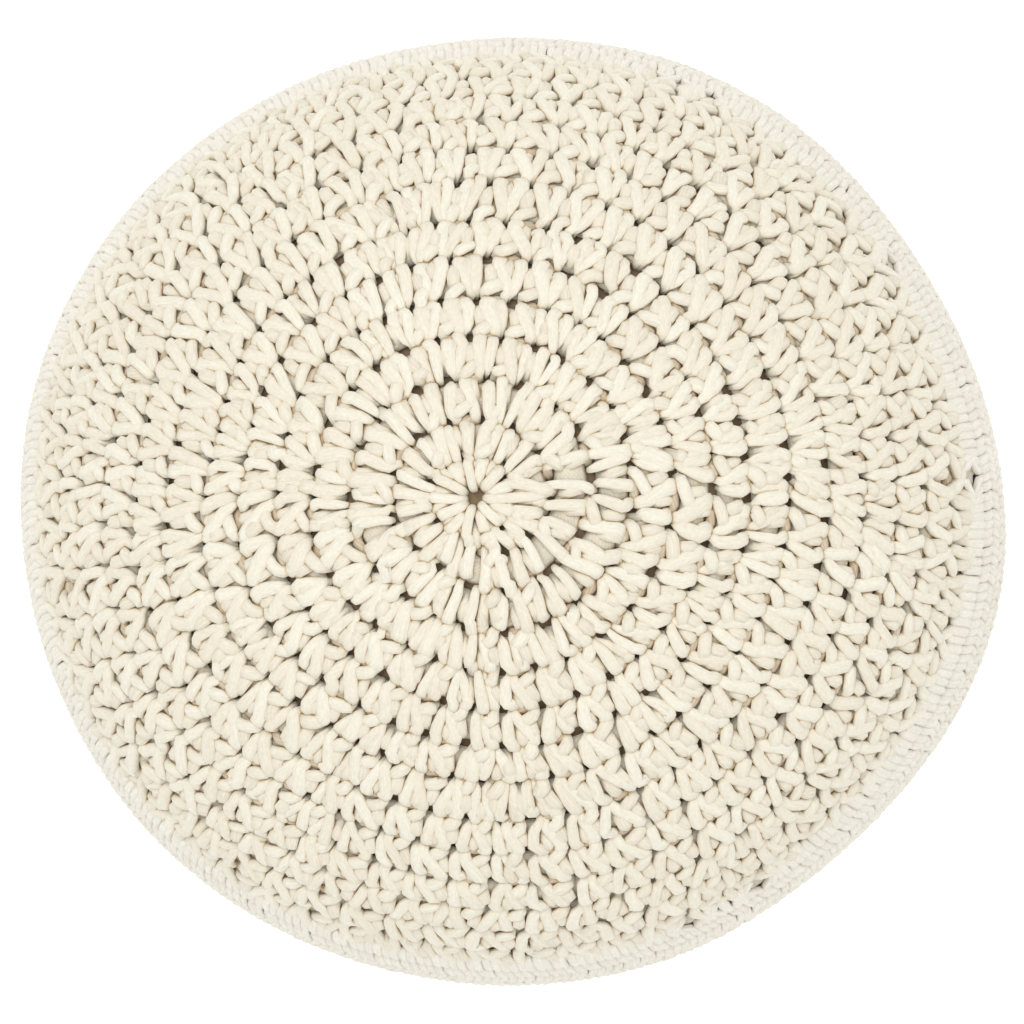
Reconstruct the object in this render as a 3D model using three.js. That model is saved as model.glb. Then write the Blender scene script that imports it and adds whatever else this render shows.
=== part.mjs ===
// A round floor pouf of cream cotton cord, filled and standing on the floor.
//
// Three pieces make it, each a closed filled body:
//   crochet_top    the domed upper panel, crocheted in rounds from its middle out
//   macrame_side   the upright wall, rows of knotted cord stacked one on another
//   crochet_base   the lower panel, crocheted in rounds, pressed flat by the weight
//
// Millimetres, +Z up. The origin is the middle of the flat underside.
// The single stitches and knots are finer than this model: here each round of
// crochet and each row of knots is one soft ridge between two grooves.

import * as THREE from 'three';

// ---------------------------------------------------------------- sizes
const HEIGHT = 300;          // floor to crown
const MEAN_RADIUS = 225;     // at the widest row of the wall, over the knots
const TOP_JOINT = 181;       // height where the upper panel meets the wall
const BASE_JOINT = 45;       // height where the wall meets the lower panel
const GAP = 0.3;             // clearance between one piece and the next
const SIDES = 60;            // flats around the pouf

const TOP_ROUNDS = 14;       // crocheted rounds from the middle to the wall
const TOP_GROOVE = 2.4;      // depth of the groove between two rounds
const WALL_ROWS = 11;        // rows of knots up the wall
const WALL_GROOVE = 2.6;     // depth of the groove between two rows
const BASE_ROUNDS = 4;       // rounds on the curved rim of the lower panel
const BASE_GROOVE = 1.6;     // they are pressed flatter than the upper ones
const FOOT_RADIUS = 163;     // the flat that rests on the floor

// Sections of the upper panel, over the cords: distance from the axis, and
// how far below the crown.
const CROWN = [
  { radius: 0, drop: 0 },
  { radius: 35, drop: 1.5 },
  { radius: 54, drop: 4.5 },
  { radius: 72, drop: 8.5 },
  { radius: 89, drop: 14 },
  { radius: 106, drop: 20.5 },
  { radius: 122, drop: 28 },
  { radius: 139, drop: 37.5 },
  { radius: 154.5, drop: 48 },
  { radius: 169, drop: 60 },
  { radius: 182, drop: 72.5 },
  { radius: 193, drop: 86.5 },
  { radius: 202.5, drop: 102 },
  { radius: 209, drop: 118.5 },
];

// Sections of the wall: it swells between its two drawn-in edges.
const WALL = [
  { height: 45, radius: 209.5 },
  { height: 62, radius: 218 },
  { height: 84, radius: 223 },
  { height: 112, radius: 225 },
  { height: 138, radius: 222.5 },
  { height: 160, radius: 217.5 },
  { height: 181, radius: 211 },
];

// Sections of the lower panel's rim, from the flat foot up to the wall.
const RIM = [
  { height: 0, radius: 163 },
  { height: 2.5, radius: 173 },
  { height: 8, radius: 183 },
  { height: 17, radius: 193 },
  { height: 30, radius: 202 },
  { height: 45, radius: 208 },
];

// The pouf is hand made and a little out of round. Each row is one wave
// around the outline: how many swells it has, how large as a share of the
// radius, and where its first swell is, in degrees from +X towards +Y.
const OUT_OF_ROUND = [
  { swells: 2, share: 0.0180, at: 177 },
  { swells: 3, share: 0.0029, at: 119 },
  { swells: 4, share: 0.0054, at: 74 },
  { swells: 5, share: 0.0044, at: 65 },
  { swells: 6, share: 0.0029, at: 52 },
];

// ---------------------------------------------------------------- shapes
// A smooth outline through the sections, as (radius, height) points.
function outlineThrough(points) {
  return new THREE.SplineCurve(points.map((p) => new THREE.Vector2(p.x, p.y)));
}

// Walks an outline in equal rows, each a crest between two grooves. The
// crests lie on the outline and the grooves `depth` behind it. The first and
// last grooves are half as deep, where a row meets the next piece.
function ridged(curve, rows, depth, inward) {
  const out = [];
  for (let i = 0; i <= rows * 2; i++) {
    const u = i / (rows * 2);
    const p = curve.getPointAt(u);
    if (i % 2 === 0) {
      const t = curve.getTangentAt(u);
      const end = i === 0 || i === rows * 2;
      const d = end ? depth / 2 : depth;
      out.push(new THREE.Vector2(p.x + inward * -t.y * d, p.y + inward * t.x * d));
    } else {
      out.push(p);
    }
  }
  return out;
}

// Turns a closed-on-the-axis profile about Z and makes it as much out of
// round as the pouf is, more towards the outside than in the middle.
function turned(profile) {
  const geometry = new THREE.LatheGeometry(profile, SIDES);
  geometry.rotateX(Math.PI / 2);
  const pos = geometry.attributes.position;
  for (let i = 0; i < pos.count; i++) {
    const x = pos.getX(i);
    const y = pos.getY(i);
    const r = Math.hypot(x, y);
    const a = Math.atan2(y, x);
    let wave = 0;
    for (const w of OUT_OF_ROUND) {
      wave += w.share * Math.cos(w.swells * (a - THREE.MathUtils.degToRad(w.at)));
    }
    const k = 1 + wave * (r / MEAN_RADIUS) ** 2;
    pos.setXY(i, x * k, y * k);
  }
  geometry.computeVertexNormals();
  return geometry;
}

function crochetTop() {
  const dome = outlineThrough(CROWN.map((s) => new THREE.Vector2(s.radius, HEIGHT - s.drop)));
  const ridge = ridged(dome, TOP_ROUNDS, TOP_GROOVE, -1);
  const rim = ridge[ridge.length - 1];
  const floor = TOP_JOINT + GAP / 2;
  // the middle of the first round is the tightly closed ring, level with it
  ridge[0] = new THREE.Vector2(0, HEIGHT - TOP_GROOVE / 2);
  ridge[ridge.length - 1] = new THREE.Vector2(rim.x, floor);
  return turned([...ridge, new THREE.Vector2(0, floor)].reverse());
}

function macrameSide() {
  const wall = outlineThrough(WALL.map((s) => new THREE.Vector2(s.radius, s.height)));
  const ridge = ridged(wall, WALL_ROWS, WALL_GROOVE, 1);
  const low = BASE_JOINT + GAP / 2;
  const high = TOP_JOINT - GAP / 2;
  ridge[0].y = low;
  ridge[ridge.length - 1].y = high;
  return turned([new THREE.Vector2(0, low), ...ridge, new THREE.Vector2(0, high)]);
}

function crochetBase() {
  const rim = outlineThrough(RIM.map((s) => new THREE.Vector2(s.radius, s.height)));
  const ridge = ridged(rim, BASE_ROUNDS, BASE_GROOVE, 1);
  const high = BASE_JOINT - GAP / 2;
  ridge[0] = new THREE.Vector2(FOOT_RADIUS, 0);
  ridge[ridge.length - 1].y = high;
  return turned([new THREE.Vector2(0, 0), ...ridge, new THREE.Vector2(0, high)]);
}

// ---------------------------------------------------------------- the pouf
function piece(name, geometry, colour) {
  const material = new THREE.MeshStandardMaterial({ color: colour, roughness: 0.92, metalness: 0 });
  const mesh = new THREE.Mesh(geometry, material);
  mesh.name = name;
  return mesh;
}

const pouf = new THREE.Group();
pouf.add(piece('crochet_top', crochetTop(), 0xeee7d4));
pouf.add(piece('macrame_side', macrameSide(), 0xece7da));
pouf.add(piece('crochet_base', crochetBase(), 0xe6decb));

export default pouf;
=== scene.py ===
"""A round floor pouf of cream cotton cord.

The top and the underside are crocheted in rounds from thick cord, the wall is
made of stacked rows of knots that show as fine upright ribs. Every stitch is
modelled as its own short lengths of cord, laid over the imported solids.
Everything is in metres here; the tables are in millimetres, as in the solids.
"""
import math

import bpy
import numpy as np
from mathutils import Matrix, Vector


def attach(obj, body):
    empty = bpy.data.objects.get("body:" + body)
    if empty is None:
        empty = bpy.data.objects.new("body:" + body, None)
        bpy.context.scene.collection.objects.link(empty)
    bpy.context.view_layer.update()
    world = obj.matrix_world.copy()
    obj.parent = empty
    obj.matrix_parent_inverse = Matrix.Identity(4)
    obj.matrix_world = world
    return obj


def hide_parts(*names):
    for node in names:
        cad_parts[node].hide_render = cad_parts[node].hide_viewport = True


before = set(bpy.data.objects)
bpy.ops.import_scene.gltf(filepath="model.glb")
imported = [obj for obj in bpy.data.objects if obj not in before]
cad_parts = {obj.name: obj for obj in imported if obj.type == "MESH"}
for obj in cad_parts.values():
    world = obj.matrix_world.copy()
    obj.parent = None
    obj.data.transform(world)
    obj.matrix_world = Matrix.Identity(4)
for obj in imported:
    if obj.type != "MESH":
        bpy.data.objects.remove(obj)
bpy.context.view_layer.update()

MM = 0.001
rng = np.random.default_rng(20260)

# ------------------------------------------------------------------ sizes (mm)
HEIGHT = 300.0
MEAN_RADIUS = 225.0
TOP_JOINT = 181.0
BASE_JOINT = 45.0

# distance from the axis, drop below the crown
CROWN = [(0, 0), (35, 1.5), (54, 4.5), (72, 8.5), (89, 14), (106, 20.5), (122, 28),
         (139, 37.5), (154.5, 48), (169, 60), (182, 72.5), (193, 86.5), (202.5, 102),
         (209, 118.5)]
# height, radius
WALL = [(45, 209.5), (62, 218), (84, 223), (112, 225), (138, 222.5), (160, 217.5), (181, 211)]
RIM = [(0, 163), (2.5, 173), (8, 183), (17, 193), (30, 202), (45, 208)]
# swells, share of the radius, where the first swell is in degrees
OUT_OF_ROUND = [(2, 0.0180, 177), (3, 0.0029, 119), (4, 0.0054, 74), (5, 0.0044, 65),
                (6, 0.0029, 52)]

# ------------------------------------------------------------------ camera
# The camera stands nearly over the crown, leaning a little to the right and
# to the front of it, with a long lens.
CAM_LEAN, CAM_TOWARDS, CAM_FAR = math.radians(4.6), math.radians(-20), 2.4
PER_PIXEL = 0.4327 * MM       # size of one picture element at the crown
CROWN_AT = (475.0, 498.0)     # where the crown lies in the 1024 x 1024 frame


def make_camera():
    away = Vector((math.sin(CAM_LEAN) * math.cos(CAM_TOWARDS),
                   math.sin(CAM_LEAN) * math.sin(CAM_TOWARDS), math.cos(CAM_LEAN)))
    right = Vector((1, 0, 0))
    right = (right - away * right.dot(away)).normalized()
    up = away.cross(right).normalized()
    aim = Vector((0, 0, HEIGHT * MM))
    aim += right * (512 - CROWN_AT[0]) * PER_PIXEL - up * (512 - CROWN_AT[1]) * PER_PIXEL
    data = bpy.data.cameras.new("camera")
    data.sensor_width = 36
    data.lens = 36 * CAM_FAR / (1024 * PER_PIXEL)
    data.clip_start, data.clip_end = 0.05, 50
    cam = bpy.data.objects.new("camera", data)
    bpy.context.scene.collection.objects.link(cam)
    turn = Matrix((right, up, away)).transposed().to_4x4()
    cam.matrix_world = Matrix.Translation(aim + away * CAM_FAR) @ turn
    bpy.context.scene.camera = cam


make_camera()


# ------------------------------------------------------------------ the surface
def catmull(points, per=40):
    """A uniform Catmull-Rom line through the points."""
    p = np.asarray(points, float)
    ext = np.vstack([2 * p[0] - p[1], p, 2 * p[-1] - p[-2]])
    ext[0], ext[-1] = p[0], p[-1]
    out = []
    for i in range(len(p) - 1):
        t = np.linspace(0, 1, per, endpoint=False)[:, None]
        a, b, c, d = ext[i], ext[i + 1], ext[i + 2], ext[i + 3]
        v0, v1 = (c - a) / 2, (d - b) / 2
        out.append((2 * b - 2 * c + v0 + v1) * t**3 + (-3 * b + 3 * c - 2 * v0 - v1) * t**2 + v0 * t + b)
    return np.vstack(out + [p[-1:]])


class Panel:
    """A surface turned about Z, by arc length s along its profile (mm). facing
    is 1 when the outside is on the left of the way the profile runs."""

    def __init__(self, points, facing):
        line = catmull(points)
        step = np.hypot(*np.diff(line, axis=0).T)
        arc = np.concatenate([[0], np.cumsum(step)])
        self.length = arc[-1]
        self.s = np.linspace(0, self.length, 600)
        self.r = np.interp(self.s, arc, line[:, 0])
        self.z = np.interp(self.s, arc, line[:, 1])
        k = np.ones(25) / 25
        def soft(v):
            pad = np.concatenate([2 * v[0] - v[12:0:-1], v, 2 * v[-1] - v[-2:-14:-1]])
            return np.convolve(pad, k, "valid")
        self.tr, self.tz = np.gradient(soft(self.r), self.s), np.gradient(soft(self.z), self.s)
        n = np.hypot(self.tr, self.tz)
        self.tr, self.tz = self.tr / n, self.tz / n
        self.facing = facing

    def at(self, s, theta, w):
        """Points at arc s, angle theta and height w over the surface, in metres,
        and the outward normals there."""
        s, theta, w = np.broadcast_arrays(s, theta, w)
        over = s - np.clip(s, 0, self.length)
        c = np.clip(s, 0, self.length)
        tr, tz = np.interp(c, self.s, self.tr), np.interp(c, self.s, self.tz)
        r = np.interp(c, self.s, self.r) + over * tr
        z = np.interp(c, self.s, self.z) + over * tz
        nr, nz = -tz * self.facing, tr * self.facing
        rr, zz = r + nr * w, z + nz * w
        k = 1 + roundness(theta) * (np.abs(r) / MEAN_RADIUS) ** 2
        x, y = rr * np.cos(theta) * k, rr * np.sin(theta) * k
        p = np.stack([x, y, zz], -1) * MM
        n = np.stack([nr * np.cos(theta), nr * np.sin(theta), nz], -1)
        return p, n

    def arc_of(self, radius):
        return float(np.interp(radius, self.r, self.s))


def roundness(theta):
    wave = 0.0
    for swells, share, at in OUT_OF_ROUND:
        wave = wave + share * np.cos(swells * (theta - math.radians(at)))
    return wave


dome = Panel([(r, HEIGHT - d) for r, d in CROWN], 1)
wall = Panel([(r, h) for h, r in WALL][::-1], 1)
foot = Panel([(0, 0), (55, 0), (110, 0)] + [(r, h) for h, r in RIM], -1)


# ------------------------------------------------------------------ cords as meshes
class Cords:
    """Collects short lengths of cord, each a closed tube, and makes one mesh."""

    def __init__(self):
        self.groups = []

    def add(self, centre, up, wide, high, sides, tone=None, squareness=1.0):
        """centre and up are (count, rings, 3) in metres, wide and high the half
        width and half height (count, rings) in mm."""
        count, rings, _ = centre.shape
        along = np.gradient(centre, axis=1)
        along /= np.linalg.norm(along, axis=2, keepdims=True) + 1e-12
        side = np.cross(along, up)
        side /= np.linalg.norm(side, axis=2, keepdims=True) + 1e-12
        top = np.cross(side, along)
        phi = 2 * np.pi * np.arange(sides) / sides - np.pi / 2   # starts at the underside
        cx = np.sign(np.cos(phi)) * np.abs(np.cos(phi)) ** squareness
        sx = np.sign(np.sin(phi)) * np.abs(np.sin(phi)) ** squareness
        ring = (centre[:, :, None] + side[:, :, None] * (cx[None, None, :, None] * wide[:, :, None, None] * MM)
                + top[:, :, None] * (sx[None, None, :, None] * high[:, :, None, None] * MM))
        length = np.concatenate([np.zeros((count, 1)), np.cumsum(np.linalg.norm(np.diff(centre, axis=1), axis=2), axis=1)], 1) / MM
        ends = np.stack([centre[:, 0] - along[:, 0] * high[:, :1] * 0.55 * MM,
                         centre[:, -1] + along[:, -1] * high[:, -1:] * 0.55 * MM], 1)
        if tone is None:
            tone = rng.uniform(0.48, 1, count)
        elif np.isscalar(tone):
            tone = np.full(count, tone) + rng.uniform(-0.08, 0.08, count)
        # straightened coordinates of the cord (mm): across, up, along
        cord = np.empty((count, rings, sides, 3))
        cord[..., 0] = cx * wide[:, :, None]
        cord[..., 1] = sx * high[:, :, None]
        cord[..., 2] = length[:, :, None]
        cord_ends = np.zeros((count, 2, 3))
        cord_ends[:, 1, 2] = length[:, -1]
        shift = rng.uniform(0, 4000, (count, 1, 1, 1)) * np.array([0, 0, 1.0])
        cord += shift
        cord_ends += shift[:, 0]
        self.groups.append((ring, ends, cord, cord_ends, tone, rings, sides, count))

    def build(self, name, material, inside=None):
        verts, cords, tones, tri, quad, cell = [], [], [], [], [], []
        base = 0
        cells = []
        for ring, ends, cord, cord_ends, tone, rings, sides, count in self.groups:
            per = rings * sides + 2
            v = np.concatenate([ring.reshape(count, -1, 3), ends], 1).reshape(-1, 3)
            c = np.concatenate([cord.reshape(count, -1, 3), cord_ends], 1).reshape(-1, 3)
            verts.append(v)
            cords.append(c)
            tones.append(np.repeat(tone, per))
            i = np.arange(rings - 1)[:, None] * sides
            j = np.arange(sides)[None]
            k = (j + 1) % sides
            q = np.stack([i + j, i + sides + j, i + sides + k, i + k], -1).reshape(-1, 4)
            j, k = j[0], k[0]
            a = np.stack([np.full(sides, rings * sides), j, k], -1)
            last = (rings - 1) * sides
            b = np.stack([np.full(sides, rings * sides + 1), last + k, last + j], -1)
            t = np.concatenate([a, b])
            off = base + per * np.arange(count)
            quad.append((q[None] + off[:, None, None]).reshape(-1, 4))
            tri.append((t[None] + off[:, None, None]).reshape(-1, 3))
            # where each corner lies in its own cell of the flat map
            qi = np.repeat(np.arange(rings - 1), sides)
            qj = np.tile(np.arange(sides), rings - 1)
            lo, hi = 0.1 + 0.8 * qi / (rings - 1), 0.1 + 0.8 * (qi + 1) / (rings - 1)
            le, ri = qj / sides, (qj + 1) / sides
            uq = np.stack([np.stack([le, lo], -1), np.stack([le, hi], -1), np.stack([ri, hi], -1), np.stack([ri, lo], -1)], 1)
            le, ri = j / sides, (j + 1) / sides
            mid = np.full(sides, 0.5)
            ua = np.stack([np.stack([mid, mid * 0], -1), np.stack([le, mid * 0 + 0.1], -1), np.stack([ri, mid * 0 + 0.1], -1)], 1)
            ub = np.stack([np.stack([mid, mid * 0 + 1], -1), np.stack([ri, mid * 0 + 0.9], -1), np.stack([le, mid * 0 + 0.9], -1)], 1)
            cells.append((uq, np.concatenate([ua, ub]), count))
            base += per * count
        verts, cords, tones = np.concatenate(verts), np.concatenate(cords), np.concatenate(tones)
        total = sum(c for *_, c in cells)
        grid = math.ceil(math.sqrt(total))
        uvq, uvt, n = [], [], 0
        for uq, ut, count in cells:
            idx = n + np.arange(count)
            corner = np.stack([idx % grid, idx // grid], -1)[:, None, None]
            uvq.append(((corner + 0.06 + 0.88 * uq[None]) / grid).reshape(-1, 2))
            uvt.append(((corner + 0.06 + 0.88 * ut[None]) / grid).reshape(-1, 2))
            n += count
        quad, tri = np.concatenate(quad), np.concatenate(tri)
        uv = np.concatenate(uvq + uvt)
        return make_mesh(name, verts, quad, tri, material, cords, tones, uv, inside)


def make_mesh(name, verts, quad, tri, material, cords, tones, uv, inside):
    """Cords as one mesh. `inside` is the dark closed shell under them, painted
    shade seen through the holes: it goes into the same piece with its own material and its own strip of the flat map."""
    which = np.zeros(len(quad) + len(tri))
    if inside is not None:
        verts[:, 2] = np.maximum(verts[:, 2], 0.0)      # cords pressed flat on the floor
        iv, iq, it, iuv = inside
        nq, nt = len(quad), len(tri)
        uv = uv * (1, 0.94) + (0, 0.06)
        iuv = iuv * (1, 0.05)
        uv = np.concatenate([uv[:nq * 4], iuv[:len(iq) * 4], uv[nq * 4:], iuv[len(iq) * 4:]])
        quad = np.concatenate([quad, iq + len(verts)])
        tri = np.concatenate([tri, it + len(verts)])
        verts = np.concatenate([verts, iv])
        cords = np.concatenate([cords, np.zeros((len(iv), 3))])
        tones = np.concatenate([tones, np.zeros(len(iv))])
        which = np.repeat([0, 1, 0, 1], [nq, len(iq), nt, len(it)])
    me = bpy.data.meshes.new(name)
    me.vertices.add(len(verts))
    me.vertices.foreach_set("co", verts.astype(np.float32).ravel())
    loops = np.concatenate([quad.ravel(), tri.ravel()]).astype(np.int32)
    me.loops.add(len(loops))
    me.loops.foreach_set("vertex_index", loops)
    me.polygons.add(len(quad) + len(tri))
    start = np.concatenate([np.arange(len(quad)) * 4, len(quad) * 4 + np.arange(len(tri)) * 3]).astype(np.int32)
    me.polygons.foreach_set("loop_start", start)
    me.update(calc_edges=True)
    me.polygons.foreach_set("use_smooth", np.ones(len(me.polygons), bool))
    a = me.attributes.new("cord", "FLOAT_VECTOR", "POINT")
    a.data.foreach_set("vector", cords.astype(np.float32).ravel())
    a = me.attributes.new("tone", "FLOAT", "POINT")
    a.data.foreach_set("value", tones.astype(np.float32))
    layer = me.uv_layers.new(name="OFBake", do_init=False)
    layer.uv.foreach_set("vector", uv.astype(np.float32).ravel())
    me.materials.append(material)
    if inside is not None:
        me.materials.append(SHADE_CLOTH)
    me.polygons.foreach_set("material_index", which.astype(np.int32))
    me.validate()
    ob = bpy.data.objects.new(name, me)
    bpy.context.scene.collection.objects.link(ob)
    return ob


def smooth_line(points, count):
    """Catmull-Rom through control points (S, k, d), sampled at `count` places
    equally spaced along it."""
    p = np.asarray(points, float)
    k = p.shape[1]
    ext = np.concatenate([2 * p[:, :1] - p[:, 1:2], p, 2 * p[:, -1:] - p[:, -2:-1]], 1)
    u = np.linspace(0, k - 1, count)
    i = np.clip(u.astype(int), 0, k - 2)
    t = (u - i)[None, :, None]
    a, b, c, d = (ext[:, i + m] for m in range(4))
    v0, v1 = (c - a) / 2, (d - b) / 2
    return (2 * b - 2 * c + v0 + v1) * t**3 + (-3 * b + 3 * c - 2 * v0 - v1) * t**2 + v0 * t + b


# ------------------------------------------------------------------ materials
def node(nt, kind, **values):
    n = nt.nodes.new(kind)
    for key, value in values.items():
        if key in n.inputs:
            n.inputs[key].default_value = value
        else:
            setattr(n, key, value)
    return n


def cotton(name, pale, warm, deep, painted_flank_shade, painted_nook_shade, crown, rough, sheen):
    """Matt undyed cotton cord: fibres run along it, each length has its own
    tone, and a little wear and fluff breaks the surface up. Painted shade darkens
    the lower flanks of each cord and the nooks where two cords press together."""
    m = bpy.data.materials.new(name)
    m.use_nodes = True
    nt = m.node_tree
    bsdf = nt.nodes["Principled BSDF"]
    link = nt.links.new
    bsdf.inputs["Roughness"].default_value = rough
    bsdf.inputs["Sheen Weight"].default_value = sheen
    bsdf.inputs["Sheen Roughness"].default_value = 0.5
    bsdf.inputs["Sheen Tint"].default_value = (1.0, 0.97, 0.9, 1)
    bsdf.inputs["Specular IOR Level"].default_value = 0.25
    cord = node(nt, "ShaderNodeAttribute", attribute_name="cord")
    tone = node(nt, "ShaderNodeAttribute", attribute_name="tone")
    # fibres: noise drawn out along the cord
    stretch = node(nt, "ShaderNodeMapping")
    stretch.inputs["Scale"].default_value = (1.0, 1.0, 0.09)
    link(cord.outputs["Vector"], stretch.inputs["Vector"])
    fibre = node(nt, "ShaderNodeTexNoise", Scale=1.5, Detail=5.0, Roughness=0.62)
    link(stretch.outputs["Vector"], fibre.inputs["Vector"])
    # fluff: finer, nearly round
    fluff_at = node(nt, "ShaderNodeMapping")
    fluff_at.inputs["Scale"].default_value = (1.0, 1.0, 0.4)
    link(cord.outputs["Vector"], fluff_at.inputs["Vector"])
    fluff = node(nt, "ShaderNodeTexNoise", Scale=3.2, Detail=3.0, Roughness=0.6)
    link(fluff_at.outputs["Vector"], fluff.inputs["Vector"])
    # slow patches over the whole pouf
    place = node(nt, "ShaderNodeTexCoord")
    patch = node(nt, "ShaderNodeTexNoise", Scale=9.0, Detail=2.0)
    link(place.outputs["Object"], patch.inputs["Vector"])
    # colour: the cord's own tones run from warm to pale; the deep brown end is reached only by the low fixed tones of
    # the cords lying deeper, as painted shade
    ramp = node(nt, "ShaderNodeValToRGB")
    ramp.color_ramp.elements[0].position = 0.08
    ramp.color_ramp.elements[0].color = (*deep, 1)
    ramp.color_ramp.elements[1].position = 0.90
    ramp.color_ramp.elements[1].color = (*pale, 1)
    stop = ramp.color_ramp.elements.new(0.38)
    stop.color = (*warm, 1)
    mixed = node(nt, "ShaderNodeMath", operation="MULTIPLY_ADD")
    mixed.inputs[1].default_value = 0.75
    link(tone.outputs["Fac"], mixed.inputs[0])
    part = node(nt, "ShaderNodeMath", operation="MULTIPLY")
    part.inputs[1].default_value = 0.25
    link(patch.outputs["Fac"], part.inputs[0])
    link(part.outputs[0], mixed.inputs[2])
    link(mixed.outputs[0], ramp.inputs["Fac"])
    lines = node(nt, "ShaderNodeMapRange")
    lines.inputs["From Min"].default_value = 0.3
    lines.inputs["From Max"].default_value = 0.7
    lines.inputs["To Min"].default_value = 0.92
    lines.inputs["To Max"].default_value = 1.04
    link(fibre.outputs["Fac"], lines.inputs["Value"])
    # painted shade: the lower flanks of a cord are darker and warmer than its top, where shade falls
    split = node(nt, "ShaderNodeSeparateXYZ")
    link(cord.outputs["Vector"], split.inputs["Vector"])
    flank = node(nt, "ShaderNodeMapRange", interpolation_type="SMOOTHSTEP")
    flank.inputs["From Min"].default_value = -2.2
    flank.inputs["From Max"].default_value = crown
    link(split.outputs["Y"], flank.inputs["Value"])
    flank_shade_mix = node(nt, "ShaderNodeMix", data_type="RGBA")
    flank_shade_mix.inputs["A"].default_value = (*painted_flank_shade, 1)
    flank_shade_mix.inputs["B"].default_value = (1, 1, 1, 1)
    link(flank.outputs["Result"], flank_shade_mix.inputs["Factor"])
    flank_shaded = node(nt, "ShaderNodeMix", data_type="RGBA", blend_type="MULTIPLY")
    flank_shaded.inputs["Factor"].default_value = 1.0
    link(ramp.outputs["Color"], flank_shaded.inputs["A"])
    link(flank_shade_mix.outputs["Result"], flank_shaded.inputs["B"])
    # short mottled marks where the plaits of the cord show
    mottle_at = node(nt, "ShaderNodeMapping")
    mottle_at.inputs["Scale"].default_value = (1.0, 1.0, 0.6)
    link(cord.outputs["Vector"], mottle_at.inputs["Vector"])
    mottle = node(nt, "ShaderNodeTexNoise", Scale=0.9, Detail=2.0, Roughness=0.5)
    link(mottle_at.outputs["Vector"], mottle.inputs["Vector"])
    marks = node(nt, "ShaderNodeMapRange")
    marks.inputs["From Min"].default_value = 0.3
    marks.inputs["From Max"].default_value = 0.7
    marks.inputs["To Min"].default_value = 0.94
    marks.inputs["To Max"].default_value = 1.03
    link(mottle.outputs["Fac"], marks.inputs["Value"])
    # the plies of the cord show as slanting lines where it isn't rubbed smooth
    ply_at = node(nt, "ShaderNodeMapping")
    ply_at.inputs["Rotation"].default_value = (0.0, math.radians(28), 0.0)
    link(cord.outputs["Vector"], ply_at.inputs["Vector"])
    ply = node(nt, "ShaderNodeTexWave", Scale=0.22, Distortion=2.2, Detail=2.0)
    ply.inputs["Detail Scale"].default_value = 0.7
    link(ply_at.outputs["Vector"], ply.inputs["Vector"])
    hidden = node(nt, "ShaderNodeMapRange")
    hidden.inputs["From Min"].default_value = 0.38
    hidden.inputs["From Max"].default_value = 0.46
    hidden.inputs["To Min"].default_value = 0.84
    hidden.inputs["To Max"].default_value = 1.0
    link(tone.outputs["Fac"], hidden.inputs["Value"])
    plied = node(nt, "ShaderNodeMapRange")
    plied.inputs["From Min"].default_value = 0.1
    plied.inputs["From Max"].default_value = 0.6
    plied.inputs["To Max"].default_value = 1.0
    link(ply.outputs["Fac"], plied.inputs["Value"])
    link(hidden.outputs["Result"], plied.inputs["To Min"])
    all_marks = node(nt, "ShaderNodeMath", operation="MULTIPLY")
    link(marks.outputs["Result"], all_marks.inputs[0])
    link(plied.outputs["Result"], all_marks.inputs[1])
    fine = node(nt, "ShaderNodeMath", operation="MULTIPLY")
    link(lines.outputs["Result"], fine.inputs[0])
    link(all_marks.outputs[0], fine.inputs[1])
    grey = node(nt, "ShaderNodeCombineColor")
    for c in ("Red", "Green", "Blue"):
        link(fine.outputs[0], grey.inputs[c])
    toned = node(nt, "ShaderNodeMix", data_type="RGBA", blend_type="MULTIPLY")
    toned.inputs["Factor"].default_value = 1.0
    link(flank_shaded.outputs["Result"], toned.inputs["A"])
    link(grey.outputs["Color"], toned.inputs["B"])
    # painted shade: the colour darkens where two lengths of cord press together, found by an occlusion test over 1.8
    # mm
    nook = node(nt, "ShaderNodeAmbientOcclusion", samples=6, Distance=0.0018)
    pinch = node(nt, "ShaderNodeMapRange", interpolation_type="SMOOTHSTEP")
    pinch.inputs["From Min"].default_value = 0.25
    pinch.inputs["From Max"].default_value = 0.78
    link(nook.outputs["AO"], pinch.inputs["Value"])
    nook_shade_mix = node(nt, "ShaderNodeMix", data_type="RGBA")
    nook_shade_mix.inputs["A"].default_value = (*painted_nook_shade, 1)
    nook_shade_mix.inputs["B"].default_value = (1, 1, 1, 1)
    link(pinch.outputs["Result"], nook_shade_mix.inputs["Factor"])
    shaded = node(nt, "ShaderNodeMix", data_type="RGBA", blend_type="MULTIPLY")
    shaded.inputs["Factor"].default_value = 1.0
    link(toned.outputs["Result"], shaded.inputs["A"])
    link(nook_shade_mix.outputs["Result"], shaded.inputs["B"])
    link(shaded.outputs["Result"], bsdf.inputs["Base Color"])
    # relief: fibres and fluff
    both = node(nt, "ShaderNodeMath", operation="MULTIPLY_ADD")
    both.inputs[1].default_value = 0.35
    link(fluff.outputs["Fac"], both.inputs[0])
    link(fibre.outputs["Fac"], both.inputs[2])
    bump = node(nt, "ShaderNodeBump")
    bump.inputs["Strength"].default_value = 0.55
    bump.inputs["Distance"].default_value = 0.0009
    link(both.outputs[0], bump.inputs["Height"])
    link(bump.outputs["Normal"], bsdf.inputs["Normal"])
    return m


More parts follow.
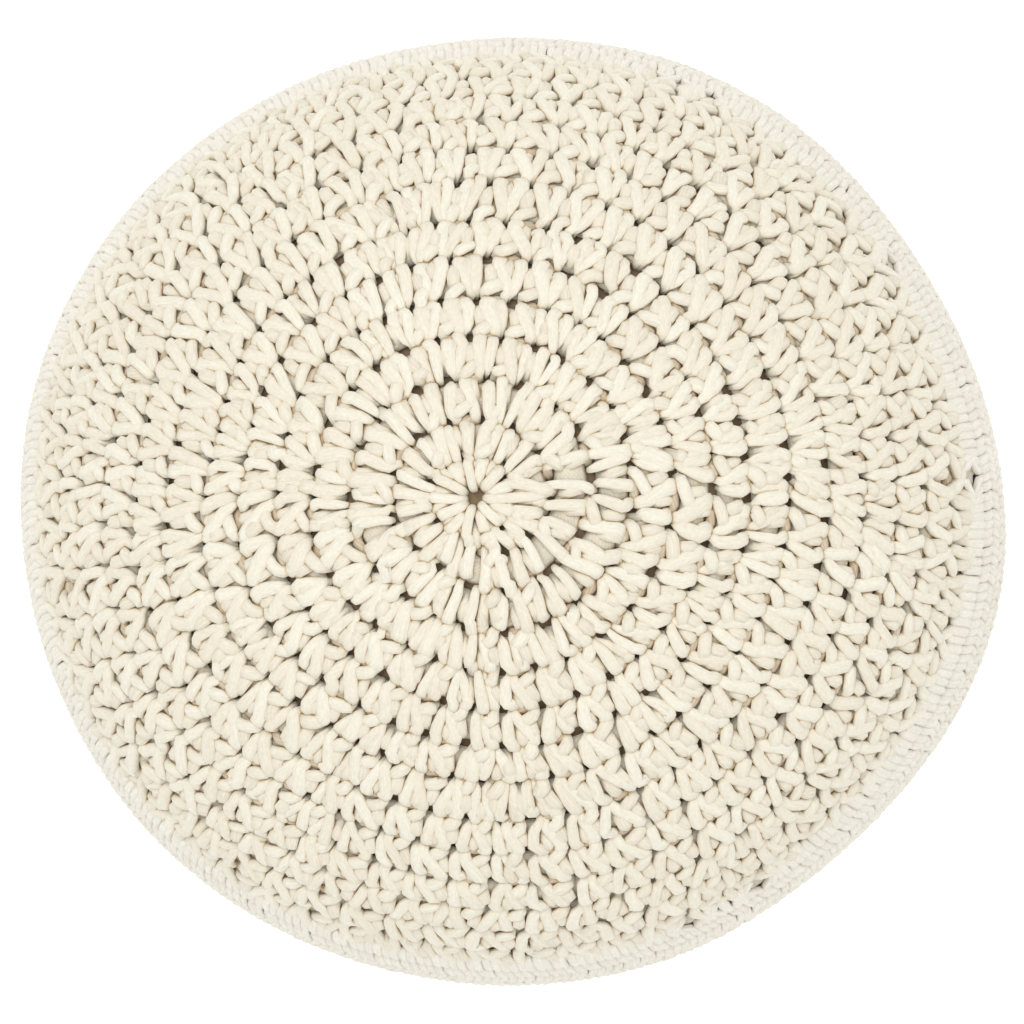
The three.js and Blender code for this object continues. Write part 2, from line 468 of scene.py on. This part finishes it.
def painted_shade_cloth():
    """A dark brown cloth on a closed shell under the cords, seen only through the holes of the work: painted shade."""
    m = bpy.data.materials.new("painted_shade_cloth")
    m.use_nodes = True
    nt = m.node_tree
    bsdf = nt.nodes["Principled BSDF"]
    link = nt.links.new
    bsdf.inputs["Roughness"].default_value = 0.95
    place = node(nt, "ShaderNodeTexCoord")
    noise = node(nt, "ShaderNodeTexNoise", Scale=300.0, Detail=3.0)
    link(place.outputs["Object"], noise.inputs["Vector"])
    ramp = node(nt, "ShaderNodeValToRGB")
    ramp.color_ramp.elements[0].position = 0.3
    ramp.color_ramp.elements[0].color = (0.24, 0.17, 0.10, 1)
    ramp.color_ramp.elements[1].position = 0.75
    ramp.color_ramp.elements[1].color = (0.38, 0.275, 0.165, 1)
    link(noise.outputs["Fac"], ramp.inputs["Fac"])
    link(ramp.outputs["Color"], bsdf.inputs["Base Color"])
    bump = node(nt, "ShaderNodeBump")
    bump.inputs["Strength"].default_value = 0.4
    bump.inputs["Distance"].default_value = 0.0004
    link(noise.outputs["Fac"], bump.inputs["Height"])
    link(bump.outputs["Normal"], bsdf.inputs["Normal"])
    return m


# pale, warm and deep make the tone ramp, whose deep end also serves as painted shade on the cords lying deeper; the
# next two colours are painted shade, on the lower flanks and in the nooks between cords
CREAM = cotton("cotton_crochet", (0.868, 0.822, 0.698), (0.812, 0.750, 0.610), (0.600, 0.465, 0.305), (0.90, 0.87, 0.80), (0.72, 0.57, 0.37), 0.6, 0.88, 0.34)
CREAM_WALL = cotton("cotton_knotted", (0.880, 0.848, 0.755), (0.835, 0.792, 0.685), (0.680, 0.620, 0.510), (0.92, 0.90, 0.86), (0.86, 0.83, 0.77), 0.6, 0.88, 0.34)
# the dark cloth of the shells under the cords: painted shade
SHADE_CLOTH = painted_shade_cloth()


# ------------------------------------------------------------------ crochet
# One row per round, from the middle out: how many stitches, and the radius of
# the line of holes that it starts from.
ROUNDS = [(7, 2.9), (14, 18.5), (20, 34.9), (29, 53.9), (36, 72.2), (38, 89.2), (48, 106.1),
          (52, 120.2), (54, 138.2), (56, 154.4), (58, 169.2), (60, 182.4), (62, 193.5),
          (64, 203.6)]
# The rounds climb outward in one spiral, a row a turn anticlockwise: how far it
# has climbed, in rows, every 15 degrees, at rows 5, 8 and 10.5.
CLIMB_AT = (5.0, 8.0, 10.5)
START = 272.0                  # bearing where the spiral begins, in degrees
START_ROW = -1                 # name of its short first row
CLIMB = np.array([
    [-.17, -.12, -.06, -.05, 0, -.04, -.03, 0, .03, .13, .18, .12, .12, .12, .04, -.03, -.08, .05, .22, .39, .50, .52, .58, .71, .83],
    [-.16, -.04, .02, .12, .30, .37, .36, .36, .42, .38, .35, .33, .38, .38, .34, .18, .06, .08, .30, .42, .51, .55, .62, .73, .84],
    [-.18, .0, .04, .12, .17, .25, .38, .46, .60, .63, .55, .45, .45, .34, .22, .08, -.06, .0, .18, .40, .49, .51, .53, .62, .82],
])


def lerp(a, b, t):
    return a + (b - a) * t


def part_round(p, wide, centres, up, size, along=1.25, across=1.0):
    """Moves points p (S, rings, 3) with half widths `wide` (mm) off the holes
    at `centres`, which are longer along the round than across it."""
    v = (p[:, :, None] - centres) / MM
    v = v - up * np.sum(v * up, -1, keepdims=True)
    e = np.cross(np.array([0, 0, 1.0]), centres)
    e /= np.linalg.norm(e, axis=1, keepdims=True)
    round_ = np.sum(v * e, -1)
    out = np.linalg.norm(v - e * round_[..., None], axis=-1)
    d = np.hypot(round_ / along, out / across) + 1e-6
    need = size + 0.85 * wide[..., None]
    far = (d**4 + need**4) ** 0.25
    push = np.where(d < 16, far / d - 1, 0)
    return p + np.sum(v * push[..., None], 2) * MM


class Crochet:
    """Works single crochet in rounds over a panel. Angles below are in turns of
    the panel's own sense: positive is the way the bars point (clockwise seen
    from outside)."""

    def __init__(self, panel, rounds, edge, turn, jog=0.0, seed=1, uneven=1.0, squash=0.0, hole=1.2, gaps=None,
                 spiral=False):
        self.panel, self.turn = panel, turn
        self.spiral = spiral
        r = np.random.default_rng(seed)
        self.r = r
        self.squash = squash
        arcs = [panel.arc_of(radius) for _, radius in rounds] + [edge]
        self.arcs = np.array(arcs)
        self.uneven = uneven
        n_rings = len(arcs)
        self.waves = []
        for i in range(n_rings):
            amp = uneven * 0.8 * min(1, i / 4)
            self.waves.append([(k, amp * r.normal() / k**0.5, r.uniform(0, 2 * np.pi)) for k in (2, 3, 4, 5, 7, 9)])
        # neighbouring rings share most of their waves
        for i in range(1, n_rings):
            self.waves[i] = [(k, lerp(a0, a1, 0.45), p0) for (k, a0, p0), (_, a1, _) in zip(self.waves[i - 1], self.waves[i])] if i > 1 else self.waves[i]
        self.jog = jog
        self.hole, self.gaps = hole, gaps
        self.rows = []
        counts = [n for n, _ in rounds]
        # where each stitch's top loop lies on the next ring, in turns
        loops = None
        for i, n in enumerate(counts):
            if i == 0:
                base = np.arange(n) / n + r.normal(0, 0.004, n)
                pair = np.zeros(n, int)
                start = base
            else:
                m = len(loops)
                extra = max(0, n - m)
                # evenly spread increases, shifted from round to round
                marks = np.zeros(m, int)
                if extra:
                    at = (np.floor((np.arange(extra) + r.uniform(0, 1)) * m / extra + r.uniform(-0.3, 0.3, extra)).astype(int)) % m
                    for a in at:
                        while marks[a % m]:
                            a += 1
                        marks[a % m] = 1
                base, pair, order = [], [], []
                pitch = 1 / m
                for k in range(m):
                    if marks[k]:
                        base += [loops[k] - 0.27 * pitch, loops[k] + 0.27 * pitch]
                        pair += [1, 2]
                    else:
                        base.append(loops[k])
                        pair.append(0)
                base, pair = np.array(base), np.array(pair)
            # top loops: as even as the cord lets them be, a little ahead of the base
            k = np.arange(n)
            drift = self.lean(base) / n if i else 0.0
            even = k / n
            off = np.angle(np.mean(np.exp(2j * np.pi * (base - even)))) / (2 * np.pi)
            even = even + off + drift
            own = base + drift
            diff = (own - even + 0.5) % 1 - 0.5
            top = even + 0.45 * diff + r.normal(0, 0.035 * uneven, n) / n
            base = base + r.normal(0, 0.035 * uneven, n) / n * (i > 0)
            self.rows.append(dict(i=i, n=n, base=base, top=top, pair=pair,
                                  db=r.normal(0, 0.035 * uneven, n), dt=r.normal(0, 0.035 * uneven, n)))
            loops = top
        self.holes = [None] * (n_rings + 1)
        if spiral:
            # the spiral starts as a short row of its own on the first round
            bearing = (1.0 - self.rows[1]["base"]) * 360
            self.begun = (bearing > START) & (bearing < 359)
        for i in range(1, n_rings):
            at = self.rows[i - 1]["top"]
            line = self.upper(i - 1, at)
            if spiral and i == 1:
                more = self.rows[1]["base"][self.begun]
                at, line = np.concatenate([at, more]), np.concatenate([line, self.ring(1, more)])
            c, n = panel.at(line, 2 * np.pi * at * turn, 0.0)
            small = float(np.interp(i, [1, 2, 4, 5], [0.35, 0.6, 0.9, 1.0])) * (0.5 if i == n_rings - 1 else 1.0)
            size = hole * small * np.clip(np.exp(r.normal(0, 0.35, len(at))), 0.3, 1.9)
            self.holes[i] = (c, n, size)

    def lean(self, turns):
        """How far each hole lies ahead of the one it is worked into, as a share
        of the spacing: the rounds are pulled a little askew."""
        th = 2 * np.pi * turns * self.turn
        return 0.25 + 0.13 * np.cos(2 * th + np.pi / 2) + 0.04 * np.cos(th + np.pi / 4)

    def clear(self, row, p, wide):
        """Moves the middle lines of cords (S, rings, 3) aside from the holes at
        both edges of a round, so that each hole stays open."""
        for i in range(row - 1, row + 3):
            if i < 1 or i >= len(self.holes) or self.holes[i] is None or self.hole <= 0:
                continue
            c, up, size = self.holes[i]
            p = part_round(p, wide, c, up, size)
        if self.gaps is not None and row == len(self.rows) - 1:
            p = part_round(p, wide, *self.gaps)
        return p

    def climbed(self, i, turns):
        """Arc of ring line i (mm) with the climb of the spiral. The spiral
        grows out of the closed first round, and its last round closes it."""
        if not self.spiral:
            return self.arcs[i]
        last = len(self.arcs) - 1
        whole, part = np.divmod(1.0 - np.asarray(turns, float), 1.0)
        knots = np.linspace(0, 1, CLIMB.shape[1])
        at = [np.interp(part, knots, row) for row in CLIMB]
        k = np.clip(i, CLIMB_AT[0], CLIMB_AT[-1])
        rows = (lerp(at[0], at[1], (k - CLIMB_AT[0]) / (CLIMB_AT[1] - CLIMB_AT[0])) if k < CLIMB_AT[1] else
                lerp(at[1], at[2], (k - CLIMB_AT[1]) / (CLIMB_AT[2] - CLIMB_AT[1])))
        share = float(np.interp(i, [0, 1, last - 3, last - 2, last - 1, last], [0, 1, 1, 0.8, 0.5, 0]))
        q = i + share * (rows + whole)
        return np.interp(q, np.arange(last + 1), self.arcs) + np.clip(q - last, 0, None) * (self.arcs[-1] - self.arcs[-2])

    def ring(self, i, turns):
        """Arc of ring line i at these turns (mm)."""
        th = 2 * np.pi * turns
        s = self.climbed(i, turns) + sum(a * np.cos(k * th + p) for k, a, p in self.waves[i])
        if self.jog:
            d = (turns * self.turn - self.jog[0] + 0.5) % 1 - 0.5
            s = s - self.jog[2] * np.exp(-(d / self.jog[1]) ** 2) * np.clip((i - 3) / 4, 0, 1)
        return s

    def upper(self, row, turns):
        """Arc of the outer edge of a round (mm). Where the spiral has begun,
        the first round ends under the short first row."""
        line = self.ring(row + 1, turns)
        if self.spiral and row == 0:
            whole, part = np.divmod(1.0 - np.asarray(turns, float), 1.0)
            q = lerp(0.84, 1.0, (part * 360 - START) / (360 - START))
            line = np.where(part * 360 > START, np.interp(q, [0, 1], self.arcs[:2]), line)
        return line

    def span(self, row, turns):
        """Arcs of both edges of a round; START_ROW is the short first row."""
        if row == START_ROW:
            return self.upper(0, turns), self.ring(1, turns)
        return self.ring(row, turns), self.upper(row, turns)

    def spot(self, row, turns, b, w):
        """A point at `turns` round the panel and b of the way up round `row`."""
        lo, hi = self.span(row, turns)
        s = lo + (hi - lo) * b
        return self.panel.at(s, 2 * np.pi * turns * self.turn, w)

    def lay(self, row, line, rings):
        """line is (S, k, 3) control points of turns, b and w."""
        fine = smooth_line(line, rings)
        p, n = self.spot(row, fine[..., 0], fine[..., 1], fine[..., 2])
        return p, n

    def work(self, row, cords, sides=(10, 8, 6), rings=(11, 8, 6), deep=True):
        short = row == START_ROW
        d = self.rows[1 if short else row]
        i, n, base, top = d["i"], d["n"], d["base"], d["base"] if short else d["top"]
        here = self.begun if short else np.ones(n, bool)
        r = self.r
        pitch = 1 / n
        before = np.roll(top, 1).copy()
        before[0] -= 1
        after_base = np.roll(base, -1).copy()
        after_base[-1] += 1
        if self.spiral and not short:
            # a row's ends meet the rows outside and inside it
            if row + 1 < len(self.rows):
                before[0] = self.rows[row + 1]["top"][-1] - 1
            if row >= 2:
                after_base[-1] = self.rows[row - 1]["base"][0] + 1
        f = float(np.clip((i - 1) / 3, 0, 1))
        g = float(np.clip((i - 6) / 4, 0, 1))           # the outer rounds are worked tighter
        skew = np.clip((0.28 - self.lean(base)) / 0.12, 0, 1) * f
        u = self.uneven
        J = lambda s: r.normal(0, s * u, n)
        one = np.ones(n)
        # half widths (mm): the cord is squeezed where the rounds are small
        fat = float(np.interp(i, [0, 1, 2, 3, 6, 8, 9, 10, 11, 13], [2.5, 2.76, 2.86, 2.98, 3.08, 3.14, 3.16, 3.18, 3.18, 3.18]))
        flat = 0.66 * (1 - self.squash)
        lo, hi = self.span(row, base)
        high = np.maximum(hi - lo, 5.0)                 # height of the round (mm)
        # a leg is narrow where it comes up out of the hole and full at its foot
        along = np.linspace(0, 1, rings[0])
        body = np.interp(along, [0, 0.12, 0.28, 0.5, 0.74, 0.88, 1],
                         [0.70, 0.80, 0.92, 1.0, 1.04, 0.96, 0.72] if i == 0 else
                         [0.44, 0.64, 0.86, 1.0, 1.04, 0.94, 0.66] if i < 3 else
                         [lerp(0.38, 0.60, g), lerp(0.55, 0.76, g), lerp(0.80, 0.91, g), 1.0, 1.02, 0.96, 0.78])

        def leg(a0, a1, e0, e1, bow, wide, lift, sink=0.0, only=here):
            """e0 and e1 are the gaps (mm) left inside the lines of holes."""
            crest = -wide * flat + lift
            b0 = (e0 + wide * 0.60 * flat) / high
            b1 = 1 - (e1 + wide * 0.80 * flat) / high
            s = b1 - b0
            pts = np.stack([
                np.stack([a0, b0 - 0.4 / high, one * -8.5], -1),
                np.stack([lerp(a0, a1, 0.03), b0 + 0.8 / high, crest - 1.3 - sink], -1),
                np.stack([lerp(a0, a1, 0.24) + bow * pitch * 0.7, b0 + 0.30 * s, crest - 0.25 - 0.5 * sink], -1),
                np.stack([lerp(a0, a1, 0.84) + bow * pitch, b0 + 0.78 * s, crest + 0.2], -1),
                np.stack([lerp(a0, a1, 1.0) + bow * pitch * 0.25, b1 - 0.5 / high, crest - 0.75], -1),
                np.stack([a1, b1 + 0.5 / high, one * -8.0], -1),
            ], 1)
            p, up = self.lay(row, pts, rings[0])
            wid = wide[:, None] * (body[None] + r.normal(0, 0.015, (n, rings[0])))
            # two stitches worked into one hole are squeezed where they start
            wid = wid * np.where((d["pair"] > 0)[:, None], np.interp(along, [0, 0.5], [0.74, 1.0])[None], 1.0)
            p = self.clear(row, p, wid)
            cords.add(p[only], up[only], wid[only], wid[only] * flat, sides[0], squareness=0.72)

        # the cord spreads where its stitch has more room than its neighbours
        room = np.roll(after_base - base, 1) + (after_base - base)
        room = np.clip(room / np.median(room), 0.85, 1.45) ** 0.6
        wide1 = fat * 0.97 * room * (1 + J(0.06))
        wide2 = fat * 1.06 * room * (1 + J(0.06))
        snug = float(np.interp(i, [0, 1, 2, 4], [-0.3, -0.8, -1.0, -1.4]))
        tuck = float(np.interp(i, [0, 1, 2, 3, 5], [0.9, -3.0, -2.0, -1.2, -1.2]))
        # the steep leg
        a0 = base + lerp(0.13, -0.04, f) * pitch + J(0.03) * pitch
        a1 = top + lerp(0.0, -0.15, f) * pitch + J(0.05) * pitch
        if i == 0:
            a0, a1 = base + J(0.07) * pitch, top + J(0.09) * pitch
        loose = (2.6, 3.2, 1.8)[i] if i < 3 else 1.0
        leg(a0, a1, tuck + 2.2 * skew + J(0.35 * loose), snug + J(0.5 * loose), 0.02 + J(0.035), wide1,
            0.25 - 0.5 * skew + J(0.4))
        # the slanted leg
        a0 = base + (lerp(-0.38, -0.18, f) - 0.05 * g * (1 - skew) + 0.12 * skew) * pitch + J(0.03) * pitch
        a1 = before + lerp(0.50, 0.18, f) * pitch + J(0.05) * pitch
        if i == 0:
            a0, a1 = base - 0.5 * pitch + J(0.07) * pitch, before + 0.5 * pitch + J(0.09) * pitch
        leg(a0, a1, tuck + J(0.35 * loose) + (1.2 if i == 0 else 0), snug + J(0.5 * loose), J(0.035), wide2,
            -0.25 + 0.5 * skew + J(0.4),
            sink=0.8 if i == 0 else 0.2)
        if i == 0 and self.spiral:
            # one more leg closes the ring where the spiral starts
            leg(one * 0.935, one * 0.945, one * (tuck + 1.2), one * snug, 0 * one, wide2 * 0.95, -0.25 * one, 0.8,
                np.arange(n) == 0)
        gap = (after_base - base)
        # the short bar beside the hole
        if i >= 1:
            keep = (d["pair"] != 1) & here
            crest = -fat * 0.9 * flat
            bar = np.stack([
                np.stack([base + 0.08 * gap, -0.02 + d["db"], one * -7.5], -1),
                np.stack([base + 0.11 * gap, 0.03 + d["db"] + J(0.02), crest - 1.1 + J(0.25)], -1),
                np.stack([base + 0.36 * gap, 0.17 + d["db"] + J(0.03), crest + 0.15 + J(0.3)], -1),
                np.stack([base + lerp(0.60, 0.53, g) * gap, lerp(0.32, 0.36, g) + d["db"], crest - 0.9 + J(0.2)], -1),
                np.stack([base + lerp(0.70, 0.62, g) * gap, lerp(0.40, 0.44, g) + d["db"], one * -6.0], -1),
            ], 1)[keep]
            p, up = self.lay(row, bar, rings[1])
            t = np.linspace(0, 1, rings[1])[None]
            wid = (fat * 1.0 * (1 + J(0.06)))[keep][:, None] * np.interp(t, [0, 0.15, 0.4, 0.8, 1], [0.55, 0.76, 1.0, 1.0, 0.8])
            p = self.clear(row, p, wid)
            cords.add(p, up, wid, wid * flat, sides[1], squareness=0.72)
        if not deep:
            return
        # cord seen deeper down: in the fork of each stitch, beside it, and
        # along the line between one hole and the next. Their fixed low tones give them the darker browns of the colour
        # ramp: painted shade.
        mid = lerp(before, top, 0.51) + J(0.05) * pitch
        if i == 0:
            mid = lerp(before, top, 0.25)
        low = lerp(base - 0.1 * pitch, mid, 0.6)
        for part in ((mid, low),) + (((lerp(before, top, 0.75), lerp(before, top, 0.75)),) if i == 0 else ()):
            mid, low = part
            fork = np.stack([
                np.stack([low, one * 0.34, one * -9.0], -1),
                np.stack([lerp(low, mid, 0.5), one * 0.56, -3.5 + J(0.4)], -1),
                np.stack([mid, one * 0.84, -2.7 + J(0.4)], -1),
                np.stack([mid, one * 0.99, one * -8.5], -1),
            ], 1)
            p, up = self.lay(row, fork, rings[2])
            wid = (fat * 1.0 * (1 + J(0.06)))[:, None] * np.ones((1, rings[2]))
            p = self.clear(row, p, wid)
            cords.add(p[here], up[here], wid[here], wid[here] * 0.80, sides[2], tone=0.50)
        if i >= 1:
            head, toe = base + (0.42 - 0.08 * g) * gap, top + (0.06 - 0.05 * g) * pitch
            beside = np.stack([
                np.stack([head, one * 0.22, one * -8.5], -1),
                np.stack([lerp(head, toe, 0.3), one * 0.42, -2.6 + J(0.4)], -1),
                np.stack([lerp(head, toe, 0.65), one * 0.68, -2.3 + J(0.4)], -1),
                np.stack([lerp(head, toe, 0.9), one * 0.90, one * -7.5], -1),
            ], 1)
            p, up = self.lay(row, beside, rings[2])
            wid = (fat * (1.04 + 0.08 * g) * (1 + J(0.06)))[:, None] * np.ones((1, rings[2]))
            p = self.clear(row, p, wid)
            cords.add(p[here], up[here], wid[here], wid[here] * 0.80, sides[2], tone=0.50)
            between = np.stack([
                np.stack([base + 0.20 * gap, one * 0.02, one * -8.0], -1),
                np.stack([base + 0.36 * gap, one * 0.01, -4.8 + J(0.3)], -1),
                np.stack([base + 0.66 * gap, one * 0.01, -4.8 + J(0.3)], -1),
                np.stack([base + 0.82 * gap, one * 0.0, one * -8.0], -1),
            ], 1)[(d["pair"] != 1) & here]
            m = between.shape[0]
            p, up = self.lay(row, between, rings[2])
            wid = np.full((m, rings[2]), 2.4)
            p = self.clear(row, p, wid)
            # tone 0.08 takes the deep brown end of the ramp: painted shade in the line of holes
            cords.add(p, up, wid, wid * 0.9, sides[2], tone=0.08)

    def underlay(self, row, cords, sides=8):
        """The body of each round: a cord lying round under its stitches."""
        n = max(24, self.rows[row]["n"] * 2)
        turns = np.linspace(0, 1, n + 1)
        lo, hi = self.span(row, turns)
        s = lerp(lo, hi, 0.54)
        if row == 0:
            return
        w = -7.0 + 0 * turns
        p, up = self.panel.at(s, 2 * np.pi * turns * self.turn, w)
        wide = (hi - lo) * 0.38
        # tone 0.42, below the stitches' own, darkens this cord beneath as painted shade
        cords.add(p[None], up[None], wide[None], wide[None] * 0 + 3.4, sides, tone=np.array([0.42]))


# ------------------------------------------------------------------ what shows between the cords: a dark shell of painted shade
def shade_shell(*stretches, inset=9.5, around=120):
    """A closed turned shell a little inside the cords, from stretches of
    (panel, arc at the start, arc at the end, rings). It carries painted
    shade and shows only through the holes of the work."""
    th = 2 * np.pi * np.arange(around) / around
    rows = [panel.at(np.full(around, s), th, np.full(around, -inset))[0]
            for panel, s0, s1, count in stretches for s in np.linspace(s0, s1, count)]
    n = len(rows)
    verts = np.concatenate(rows + [[rows[0].mean(0)], [rows[-1].mean(0)]])
    i = np.arange(n - 1)[:, None] * around
    j = np.arange(around)[None]
    k = (j + 1) % around
    quad = np.stack([i + j, i + around + j, i + around + k, i + k], -1).reshape(-1, 4)
    j, k = j[0], k[0]
    tri = np.concatenate([np.stack([np.full(around, n * around), j, k], -1),
                          np.stack([np.full(around, n * around + 1), (n - 1) * around + k, (n - 1) * around + j], -1)])
    # flat map: around runs across, the rings run up
    u0, u1 = j / around, (j + 1) / around
    v = np.linspace(0.1, 0.9, n)
    lo, hi = np.repeat(v[:-1], around), np.repeat(v[1:], around)
    l, r = np.tile(u0, n - 1), np.tile(u1, n - 1)
    uq = np.stack([np.stack([l, lo], -1), np.stack([l, hi], -1), np.stack([r, hi], -1), np.stack([r, lo], -1)], 1)
    z, o = np.zeros(around), np.ones(around)
    ua = np.stack([np.stack([(u0 + u1) / 2, z], -1), np.stack([u0, z + 0.1], -1), np.stack([u1, z + 0.1], -1)], 1)
    ub = np.stack([np.stack([(u0 + u1) / 2, o], -1), np.stack([u1, z + 0.9], -1), np.stack([u0, z + 0.9], -1)], 1)
    uv = np.concatenate([uq.reshape(-1, 2), ua.reshape(-1, 2), ub.reshape(-1, 2)])
    return verts, quad, tri, uv


TOP_CUT = (dome, dome.length - 2, dome.length - 2, 1)
FOOT_CUT = (foot, foot.length - 2, foot.length - 2, 1)
under_top = shade_shell((dome, 1.5, dome.length - 2, 40))
under_wall = shade_shell(TOP_CUT, (wall, 4, wall.length - 4, 24), FOOT_CUT)
under_foot = shade_shell((foot, foot.length - 2, 1.5, 36))

# places where the last round stands off the wall: degrees, half opening (mm)
GAP_AT = [(3.3, 4.6), (31.6, 4.0), (62.5, 3.0), (66.5, 2.6), (70, 2.6), (-55.2, 4.4), (-60.2, 3.4), (-65.0, 3.8)]


def gaps():
    deg = np.radians([d for d, _ in GAP_AT])
    c, n = dome.at(dome.length + 6.0, deg, 0.0)
    return c, n, np.array([w for _, w in GAP_AT])


GAPS = gaps()
top = Crochet(dome, ROUNDS, dome.length + 11, -1, jog=(170 / 360, 0.045, 6.0), seed=11, gaps=GAPS,
              spiral=True)
bags = [Cords(), Cords(), Cords()]
for row in [START_ROW] + list(range(len(ROUNDS))):
    bag = bags[0 if row < 7 else 1 if row < 11 else 2]
    top.work(row, bag)
    if row != START_ROW:
        top.underlay(row, bag)
top_inner, top_middle, top_outer = [
    bag.build(name, CREAM, body) for bag, name, body in
    zip(bags, ("crochet_top_inner", "crochet_top_middle", "crochet_top_outer"), (under_top, None, None))]

# ------------------------------------------------------------------ wall
# The rows of knots: the first is a tall rolled one just under the crochet.
WALL_ROWS = 10
FIRST_ROW = 19.0
RIBS = 336
ROW_LINES = np.concatenate([[0], np.linspace(FIRST_ROW, wall.length, WALL_ROWS)])


def knotted_rows(first, last, cords, seed):
    r = np.random.default_rng(seed)
    for row in range(first, last):
        n = RIBS
        tall = row == 0
        turns = (np.arange(n) + r.uniform(0, 1)) / n + r.normal(0, 0.07, n) / n
        turns = turns + np.where(np.arange(n) % 2 == 0, 0.05, -0.05) / n
        th = 2 * np.pi * turns

        def wobble(size):
            return sum(size * a * np.cos(k * th + p) for k, a, p in
                       [(k, r.normal(0, 0.5), r.uniform(0, 6)) for k in (3, 5, 8, 13)])

        reach = (ROW_LINES[row + 1] - ROW_LINES[row]) * 0.5
        mid = ROW_LINES[row] + reach + wobble(0.45)
        lean = (0.10 if tall else 0.30 if row % 2 else -0.30) / n
        one = np.ones(n)
        J = lambda s: r.normal(0, s, n)
        low = -4.4
        wide = 2.7 * (1 + J(0.06))
        crest = -wide * 0.72 + J(0.12) + wobble(0.4)
        tip = J(0.3)
        lip = -reach * 0.98 + (0.6 * J(1.0) if tall else tip - 0.5)
        fall = 0.7 if tall else 0.5
        pts = np.stack([
            np.stack([turns - lean * 1.0, mid + lip, one * low], -1),
            np.stack([turns - lean * 0.8, mid + lip * 0.80, crest - fall], -1),
            np.stack([turns, mid + J(0.25), crest], -1),
            np.stack([turns + lean * 0.8, mid + reach * 0.78 + tip, crest - fall], -1),
            np.stack([turns + lean * 1.0, mid + reach * 0.98 + tip + 0.5, one * low], -1),
        ], 1)
        rings = 9 if tall else 7
        fine = smooth_line(pts, rings)
        p, up = wall.at(fine[..., 1], 2 * np.pi * fine[..., 0], fine[..., 2])
        t = np.linspace(0, 1, rings)[None]
        wid = wide[:, None] * (1 - 0.12 * np.abs(2 * t - 1) ** 2)
        if tall:
            p = part_round(p, wid, *GAPS)
        cords.add(p, up, wid, wid * 0.68, 6)
        # the cord that each row is knotted over; its low fixed tone of 0.2 takes the darker browns of the ramp as
        # painted shade
        m = 120
        tt = np.linspace(0, 1, m + 1)
        s_mid = np.full(m + 1, ROW_LINES[row] + reach)
        p, up = wall.at(s_mid, 2 * np.pi * tt, np.full(m + 1, -6.0))
        cords.add(p[None], up[None], np.full((1, m + 1), reach * 0.8), np.full((1, m + 1), 3.0), 6, tone=0.2)


upper, lower = Cords(), Cords()
knotted_rows(0, 5, upper, 31)
knotted_rows(5, WALL_ROWS, lower, 32)
wall_upper = upper.build("macrame_wall_upper", CREAM_WALL, under_wall)
wall_lower = lower.build("macrame_wall_lower", CREAM_WALL)

# ------------------------------------------------------------------ underside
FOOT_ROUNDS = [(8, 2.5), (14, 18.5), (20, 35.5), (28, 53), (36, 70.5), (40, 88), (48, 105.5),
               (52, 123), (54, 140), (56, 157), (58, 173.5), (60, 186), (60, 195.5), (62, 203)]
under = Crochet(foot, FOOT_ROUNDS, foot.length - 1.0, 1, seed=21, uneven=0.7, squash=0.3)
base_cords = Cords()
for row in range(len(FOOT_ROUNDS)):
    under.work(row, base_cords, sides=(7, 6, 5), rings=(7, 5, 4), deep=False)
    under.underlay(row, base_cords, sides=6)
underside = base_cords.build("crochet_underside", CREAM, under_foot)


# ------------------------------------------------------------------ riding
for piece, node_name, slot in (
    (top_inner, "crochet_top", "crochet_cord"), (top_middle, "crochet_top", "crochet_cord"),
    (top_outer, "crochet_top", "crochet_cord"),
    (wall_upper, "macrame_side", "macrame_cord"), (wall_lower, "macrame_side", "macrame_cord"),
    (underside, "crochet_base", "crochet_cord"),
):
    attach(piece, "root")
    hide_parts(node_name)


# ------------------------------------------------------------------ floor and light
def stage():
    me = bpy.data.meshes.new("floor")
    size = 6.0
    me.from_pydata([(-size, -size, 0), (size, -size, 0), (size, size, 0), (-size, size, 0)], [], [(0, 1, 2, 3)])
    floor = bpy.data.objects.new("floor", me)
    bpy.context.scene.collection.objects.link(floor)
    m = bpy.data.materials.new("floor_white")
    m.use_nodes = True
    b = m.node_tree.nodes["Principled BSDF"]
    b.inputs["Base Color"].default_value = (0.93, 0.93, 0.93, 1)
    b.inputs["Roughness"].default_value = 0.9
    b.inputs["Emission Color"].default_value = (1, 1, 1, 1)
    b.inputs["Emission Strength"].default_value = 0.3
    b.inputs["Specular IOR Level"].default_value = 0.1
    me.materials.append(m)

    world = bpy.data.worlds.new("studio")
    bpy.context.scene.world = world
    world.use_nodes = True
    bg = world.node_tree.nodes["Background"]
    bg.inputs["Color"].default_value = (1.0, 1.0, 1.0, 1)
    bg.inputs["Strength"].default_value = 0.80

    def soft_light(name, at, size, power, colour=(1, 1, 1)):
        data = bpy.data.lights.new(name, "AREA")
        data.shape = "DISK"
        data.size = size
        data.energy = power
        data.color = colour
        ob = bpy.data.objects.new(name, data)
        ob.location = at
        ob.rotation_euler = (Vector((0, 0, 0.2)) - Vector(at)).to_track_quat("-Z", "Y").to_euler()
        bpy.context.scene.collection.objects.link(ob)

    soft_light("key", (-0.45, 0.55, 3.2), 2.2, 38)
    soft_light("fill", (1.8, -1.2, 2.8), 2.4, 12)


stage()
bpy.context.scene.view_settings.view_transform = "Standard"
bpy.context.scene.view_settings.look = "None"
